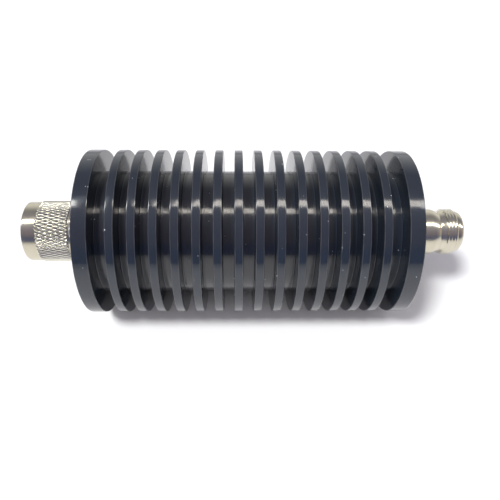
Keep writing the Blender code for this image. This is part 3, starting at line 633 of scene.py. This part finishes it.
contact_steps = 64
contact_radius, wire_hole, wire_hole_front, tail_back = 1.52, 0.9, -1.0, -4.0
sleeve_back, sleeve_step, sleeve_front = 1.6, 10.9, 20.3
sleeve_root, sleeve_tip = 4.6, 4.0
sleeve_slot_back, past_sleeve, sleeve_slot = 13.3, 21.0, 0.5
pin_radius, pin_end_radius, pin_shoulder, pin_taper, pin_front = 0.83, 0.45, 15.0, 19.0, 19.8
bead_bore, bead_radius, plug_bead_front = 1.82, 3.2, 14.7
gasket_bore, gasket_radius, gasket_back, gasket_front = 4.3, 7.5, 11.5, 13.0
tail = [(wire_hole_front, 0.0), (wire_hole_front, wire_hole), (tail_back, wire_hole),
        (tail_back, contact_radius, 0.15)]
sleeve_section = [(sleeve_back, line_bore), (sleeve_back, sleeve_root, 0.1), (sleeve_step, sleeve_root),
                  (sleeve_step, sleeve_tip), (sleeve_front, sleeve_tip, 0.22),
                  (sleeve_front, line_bore, 0.15)]
sleeve = turned("slotted_outer_contact", outward(body_left, -1, sleeve_section), connector_steps)
slotted(sleeve, body_left, -1, sleeve_slot_back, past_sleeve, sleeve_root, sleeve_slot)
dress(sleeve, nickel, "nickel_plated_brass", "attenuator_body", "plug_outer_contact")

plug_pin = tail + [(pin_shoulder, contact_radius, 0.15), (pin_shoulder, pin_radius),
                   (pin_taper, pin_radius, 0.5), (pin_front, pin_end_radius, 0.25), (pin_front, 0.0)]
pin = turned("gold_centre_pin", outward(body_left, -1, plug_pin), contact_steps)
dress(pin, gold, "gold_plated_bronze", "attenuator_body", "plug_centre_pin")
plug_bead = [(turned_back, bead_bore), (turned_back, bead_radius), (plug_bead_front, bead_radius, 0.1),
             (plug_bead_front, bead_bore)]
bead = turned("plug_bead", outward(body_left, -1, plug_bead), contact_steps)
dress(bead, plastic, "white_ptfe", "attenuator_body", "plug_insulator")

silicone, tree, shader, point = new_material("red_silicone")
grit = add_node(tree, "TexNoise", {"Vector": point, "Scale": 1800.0, "Detail": 3.0}).outputs["Fac"]
lint = put_group(tree, dust, {"Point": point, "Specks": 1200.0, "Amount": 0.06})["Mask"]
colour = mixed(tree, grit, (0.36, 0.045, 0.03), (0.48, 0.065, 0.045))
tree.links.new(mixed(tree, times(tree, lint, 0.6), colour, (0.6, 0.5, 0.48)), shader.inputs["Base Color"])
tree.links.new(ranged(tree, grit, 0.42, 0.62), shader.inputs["Roughness"])
tree.links.new(bumped(tree, grit, 0.3, 0.02), shader.inputs["Normal"])
gasket_section = [(gasket_back, gasket_bore, 0.3), (gasket_back, gasket_radius, 0.5),
                  (gasket_front, gasket_radius, 0.5), (gasket_front, gasket_bore, 0.3)]
gasket = turned("red_gasket", outward(body_left, -1, gasket_section), connector_steps)
dress(gasket, silicone, "red_silicone", "attenuator_body", "plug_gasket")


# Coupling nut. Nickel-plated brass: a smooth front band, a rolled diamond knurl and a thin collar
# outside, and a fine thread behind a chamfered mouth inside. It turns freely on the plug's nose.
def on_plane(bm, x):
    """The ring of edges that lies on a plane across X, in millimetres."""
    return [edge for edge in bm.edges if all(abs(vert.co.x - x * MM) < WELD for vert in edge.verts)]


def set_radius(edges, radius):
    for vert in {vert for edge in edges for vert in edge.verts}:
        scale = radius * MM / math.hypot(vert.co.y, vert.co.z)
        vert.co.y *= scale
        vert.co.z *= scale


def trimmed(bm, items, x, side):
    """Cuts a strip square at x and drops what is beyond it on that side."""
    bmesh.ops.bisect_plane(bm, geom=items, dist=WELD, plane_co=(x * MM, 0.0, 0.0), plane_no=(side, 0.0, 0.0),
                           clear_outer=True)


def everything(bm):
    return bm.verts[:] + bm.edges[:] + bm.faces[:]


def screw_thread(back, front, root, crest, run_out, pitch, steps):
    """A V thread on X as an open strip, cut square at both ends and run out to one radius there."""
    bm = bmesh.new()
    turns = math.ceil((front - back) / pitch) + 3
    points = []
    for turn in range(turns):
        start = back + (turn - 2) * pitch
        for share, radius in ((0.0, crest), (0.16, crest), (0.52, root), (0.64, root)):
            points.append(bm.verts.new(((start + share * pitch) * MM, 0.0, radius * MM)))
    edges = [bm.edges.new(run) for run in zip(points, points[1:])]
    bmesh.ops.spin(bm, geom=points + edges, cent=(0, 0, 0), axis=(1, 0, 0), angle=math.tau, steps=steps,
                   dvec=(pitch * MM / steps, 0.0, 0.0), use_merge=False)
    bmesh.ops.remove_doubles(bm, verts=bm.verts, dist=WELD)
    for x, side in ((back, -1.0), (front, 1.0)):
        trimmed(bm, everything(bm), x, side)
        set_radius(on_plane(bm, x), run_out)
    return bm


def diamond_knurl(back, front, root, crest, cells_round, cells_long):
    """Raised diamonds in crossed rows as an open strip, sloped down to the root at both ends."""
    bm = bmesh.new()
    half_length = (front - back) / cells_long / 2
    half_turn = math.pi / cells_round

    def lattice(along, around):
        angle = around * half_turn
        return bm.verts.new(((back + along * half_length) * MM, -root * MM * math.sin(angle),
                             root * MM * math.cos(angle)))

    for row in range(2 * cells_long + 1):
        around = (row + 1) % 2
        bm.faces.new([lattice(row - 1, around), lattice(row, around + 1), lattice(row + 1, around),
                      lattice(row, around - 1)])
    bmesh.ops.spin(bm, geom=everything(bm), cent=(0, 0, 0), axis=(1, 0, 0),
                   angle=math.tau * (cells_round - 1) / cells_round, steps=cells_round - 1,
                   use_duplicate=True)
    bmesh.ops.remove_doubles(bm, verts=bm.verts, dist=WELD)
    tops = bm.faces[:]
    for share, inset in knurl_steps:
        bmesh.ops.inset_individual(bm, faces=tops, thickness=inset * MM, depth=share * (crest - root) * MM)
    for x, side in ((back, -1.0), (front, 1.0)):
        trimmed(bm, everything(bm), x, side)
        bmesh.ops.bisect_plane(bm, geom=everything(bm), dist=WELD, plane_no=(1.0, 0.0, 0.0),
                               plane_co=((x - side * knurl_slope) * MM, 0.0, 0.0))
        set_radius(on_plane(bm, x), root)
    return bm


def merged(bm, strip):
    """Adds an open strip's mesh to another and frees it."""
    holder = bpy.data.meshes.new("strip")
    strip.to_mesh(holder)
    strip.free()
    bm.from_mesh(holder)
    bpy.data.meshes.remove(holder)


def bridged(bm, x_first, x_second, inner=None):
    """Joins the two open rings that lie on these planes, inside or outside a radius."""
    edges = [edge for x in (x_first, x_second) for edge in on_plane(bm, x) if edge.is_boundary]
    if inner is not None:
        edges = [edge for edge in edges
                 if (math.hypot(edge.verts[0].co.y, edge.verts[0].co.z) < 9.0 * MM) == inner]
    bmesh.ops.bridge_loops(bm, edges=edges)


thread_pitch = 25.4 / 24
knurl_slope = 0.35
nut_back, knurl_back, knurl_front, nut_front = 5.4, 6.5, 17.3, 21.9
knurl_root, knurl_crest = 10.16, 10.43
knurl_round, knurl_long = 54, 3
knurl_steps = ((0.52, 0.135), (0.29, 0.145), (0.14, 0.155), (0.05, 0.09))
nut_thread_back, nut_thread_front, nut_thread_relief = 13.8, 21.2, 13.05
nut_thread_root, nut_thread_crest, nut_thread_start = 7.94, 7.38, 7.45
nut_bore, ring_groove, collar_radius, band_radius, mouth_radius = 8.1, 8.75, 10.2, 10.15, 8.15
join = 0.04


def nut_place(u):
    return body_left - u


rear = [(nut_thread_back - join, 7.95), (nut_thread_relief, nut_bore), (groove_front, nut_bore),
        (groove_front, ring_groove), (groove_back, ring_groove), (groove_back, nut_bore),
        (nut_back, nut_bore, 0.2), (nut_back, collar_radius, 0.3), (knurl_back - join, collar_radius),
        (knurl_back - join, knurl_root)]
nose = [(knurl_front + join, knurl_root), (knurl_front + join, band_radius), (nut_front, band_radius, 0.6),
        (nut_front, mouth_radius, 0.1), (nut_thread_front + join, nut_thread_start)]
bm = bmesh.new()
lathe(bm, outward(body_left, -1, rear), connector_steps, weld=False)
lathe(bm, outward(body_left, -1, nose), connector_steps, weld=False)
merged(bm, diamond_knurl(nut_place(knurl_front), nut_place(knurl_back), knurl_root, knurl_crest,
                         knurl_round, knurl_long))
merged(bm, screw_thread(nut_place(nut_thread_front), nut_place(nut_thread_back), nut_thread_root,
                        nut_thread_crest, nut_thread_root, thread_pitch, connector_steps))
bridged(bm, nut_place(knurl_back - join), nut_place(knurl_back), inner=False)
bridged(bm, nut_place(knurl_front + join), nut_place(knurl_front), inner=False)
bridged(bm, nut_place(nut_thread_back - join), nut_place(nut_thread_back), inner=True)
bridged(bm, nut_place(nut_thread_front + join), nut_place(nut_thread_front), inner=True)
nut = object_from(bm, "knurled_coupling_nut")


def knurl_masks(tree, point):
    """The rolled area, and painted shade in its grooves, by how far in from the tops a point is."""
    parts = add_node(tree, "SeparateXYZ", {0: point})
    across = add_node(tree, "CombineXYZ", {"Y": parts.outputs["Y"], "Z": parts.outputs["Z"]}).outputs[0]
    out = add_node(tree, "VectorMath", {0: across}, operation="LENGTH").outputs["Value"]
    low = ranged(tree, out, 1.0, 0.0, (knurl_root + 0.05) * MM, (knurl_root + 0.16) * MM)
    outside = ranged(tree, out, 0.0, 1.0, 9.90 * MM, 9.95 * MM)
    ahead = ranged(tree, parts.outputs["X"], 0.0, 1.0, nut_place(knurl_front) * MM,
                   nut_place(knurl_front - 0.1) * MM)
    behind = ranged(tree, parts.outputs["X"], 1.0, 0.0, nut_place(knurl_back + 0.1) * MM,
                    nut_place(knurl_back) * MM)
    rolled = times(tree, outside, times(tree, ahead, behind))
    return rolled, times(tree, times(tree, low, rolled), 0.95)


dress(nut, plain_metal("knurled_nickel", knurl_masks), "nickel_plated_brass", "nut", "coupling_nut")
smooth_parts = nut.vertex_groups.new(name="smooth_parts")
smooth_parts.add([vert.index for vert in nut.data.vertices
                  if not nut_place(knurl_front) < vert.co.x / MM < nut_place(knurl_back)], 1.0, "REPLACE")
nut.modifiers["even_shading"].vertex_group = "smooth_parts"


# Jack. Nickel-plated brass in one with its flange: a plain barrel, an undercut neck, a short fine
# thread and a rounded nose. A slotted gold socket stands in its bored mouth, in white plastic.
jack_radius, barrel_front, neck_radius, neck_back, neck_front = 7.95, 11.3, 7.1, 13.2, 13.7
thread_start, thread_end, thread_shoulder = 15.1, 18.4, 14.9
jack_thread_root, jack_thread_crest, jack_thread_ends = 7.68, 7.91, 7.75
nose_start, nose_start_radius, nose_middle, nose_middle_radius = 18.8, 7.35, 20.0, 7.2
jack_reach, jack_front_radius = 21.3, 6.6
jack_mouth, jack_mouth_back, past_jack, past_jack_radius = 4.05, 12.2, 21.8, 5.05
jack_outside = [(turned_back, 0.0), (turned_back, jack_radius), (barrel_front, jack_radius, 1.3),
                (neck_back, neck_radius, 0.8), (neck_front, neck_radius, 0.4),
                (thread_shoulder, jack_thread_ends, 0.15), (thread_start - join, jack_thread_ends)]
jack_nose = [(thread_end + join, 7.7), (nose_start, nose_start_radius, 0.2),
             (nose_middle, nose_middle_radius, 0.6), (jack_reach, jack_front_radius, 1.0), (jack_reach, 0.0)]
bm = bmesh.new()
lathe(bm, outward(body_right, 1, jack_outside), connector_steps, weld=False)
lathe(bm, outward(body_right, 1, jack_nose), connector_steps, weld=False)
merged(bm, screw_thread(body_right + thread_start, body_right + thread_end, jack_thread_root,
                        jack_thread_crest, jack_thread_ends, thread_pitch, connector_steps))
bridged(bm, body_right + thread_start - join, body_right + thread_start)
bridged(bm, body_right + thread_end + join, body_right + thread_end)
jack_body = object_from(bm, "threaded_jack")
carve(jack_body, flange_plate("jack_flange", body_right, 1), "UNION")
jack_bore = [(0.0, 0.0), (0.0, line_bore), (jack_mouth_back, line_bore), (jack_mouth_back, jack_mouth),
             (20.8, jack_mouth), (past_jack, past_jack_radius), (past_jack, 0.0)]
carve(jack_body, turned("jack_bore", outward(body_right, 1, jack_bore), connector_steps))
dress(jack_body, nickel, "nickel_plated_brass", "attenuator_body", "jack_body")

jack_bead_front = 11.9
jack_bead = [(turned_back, bead_bore), (turned_back, bead_radius), (jack_bead_front, bead_radius, 0.1),
             (jack_bead_front, bead_bore)]
bead = turned("jack_bead", outward(body_right, 1, jack_bead), contact_steps)
dress(bead, plastic, "white_ptfe", "attenuator_body", "jack_insulator")
socket_bore, socket_bore_back, socket_front = 0.88, 11.4, 17.4
socket_section = tail + [(socket_front, contact_radius, 0.25), (socket_front, socket_bore, 0.2),
                         (socket_bore_back, socket_bore), (socket_bore_back, 0.0)]
socket = turned("slotted_centre_socket", outward(body_right, 1, socket_section), contact_steps)
socket_slot_back, past_socket, past_contact_radius, socket_slot = 12.9, 18.1, 1.9, 0.4
slotted(socket, body_right, 1, socket_slot_back, past_socket, past_contact_radius, socket_slot)
dress(socket, gold, "gold_plated_bronze", "attenuator_body", "jack_centre_contact")


# Flange screws. Low stainless socket heads, four at each end, each with a rounded rim and a hex
# recess. They clamp the two flanges to the heat sink.
screw_end, screw_radius = -6.5, 1.5
head_back, head_front, head_radius = 3.0, 4.5, 2.6
hex_floor, past_head, hex_radius = 3.6, 5.4, 1.4
screw_section = [(screw_end, 0.0), (screw_end, screw_radius, 0.3), (head_back, screw_radius),
                 (head_back, head_radius, 0.1), (head_front, head_radius, 0.35), (head_front, 0.0)]
for end, face, side in (("plug", body_left, -1), ("jack", body_right, 1)):
    for number, place in enumerate(screw_places, start=1):
        screw = turned(f"{end}_socket_screw_{number}", outward(face, side, screw_section), 48)
        bm = bmesh.new()
        add_rod(bm, face + side * hex_floor, face + side * past_head, hex_radius, (0.0, 0.0), 6)
        carve(screw, object_from(bm, "hex_recess"))
        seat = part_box(f"{end}_flange_screw_{number}")
        middle = (seat[0] + seat[1]) / 2
        screw.data.transform(Matrix.Translation((0.0, middle.y, middle.z)))
        dress(screw, steel, "stainless_steel", "attenuator_body", f"{end}_flange_screw_{number}")
